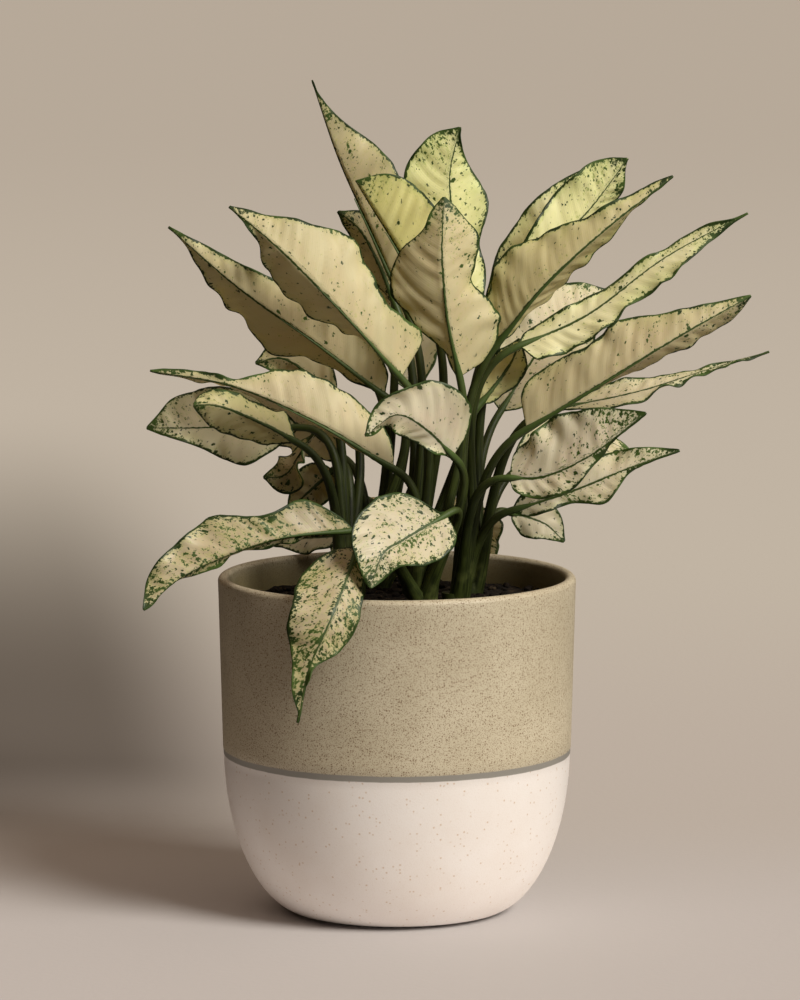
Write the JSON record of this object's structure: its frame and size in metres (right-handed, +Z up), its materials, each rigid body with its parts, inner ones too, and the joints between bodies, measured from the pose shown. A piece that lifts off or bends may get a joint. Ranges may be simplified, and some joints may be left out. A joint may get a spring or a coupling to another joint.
{
  "type": "potted aglaonema",
  "caption": "Potted aglaonema: a bushy cluster of cream leaves with thin green margins on dark stalks, standing in soil in a two-tone glazed pot with a rounded bowl.",
  "frame": {"origin": "middle of the pot's flat underside", "axes": "+Z up along the pot's axis and the plant's height, the front of the plant looks along -Y"},
  "size_m": [0.3664, 0.2977, 0.4863],
  "materials": {
    "pot_glaze": "speckled matt glaze, khaki above and off-white below a grey line",
    "potting_soil": "crumbly, dark and damp",
    "stalk": "smooth, waxy dark green",
    "leaf_blade": "satin cream with green margin, midrib and speckles"
  },
  "bodies": {
    "root": {"pot": "pot_glaze", "soil": "potting_soil", "shoot_left": "stalk", "shoot_front": "stalk", "shoot_right": "stalk", "shoot_middle": "stalk", "shoot_far_right": "stalk", "shoot_back": "stalk", "leaf_01": "leaf_blade", "leaf_02": "leaf_blade", "leaf_03": "leaf_blade", "leaf_04": "leaf_blade", "leaf_05": "leaf_blade", "leaf_06": "leaf_blade", "leaf_07": "leaf_blade", "leaf_08": "leaf_blade", "leaf_09": "leaf_blade", "leaf_10": "leaf_blade", "leaf_11": "leaf_blade", "leaf_12": "leaf_blade", "leaf_13": "leaf_blade", "leaf_14": "leaf_blade", "leaf_15": "leaf_blade", "leaf_16": "leaf_blade", "leaf_17": "leaf_blade", "leaf_18": "leaf_blade", "leaf_19": "leaf_blade", "leaf_20": "leaf_blade", "leaf_21": "leaf_blade", "leaf_22": "leaf_blade", "leaf_23": "leaf_blade", "leaf_24": "leaf_blade", "leaf_25": "leaf_blade", "leaf_26": "leaf_blade", "leaf_27": "leaf_blade", "leaf_28": "leaf_blade", "leaf_29": "leaf_blade", "leaf_30": "leaf_blade", "leaf_31": "leaf_blade", "leaf_32": "leaf_blade", "leaf_33": "leaf_blade", "leaf_34": "leaf_blade", "leaf_35": "leaf_blade", "leaf_36": "leaf_blade", "leaf_37": "leaf_blade"}
  },
  "joints": []
}
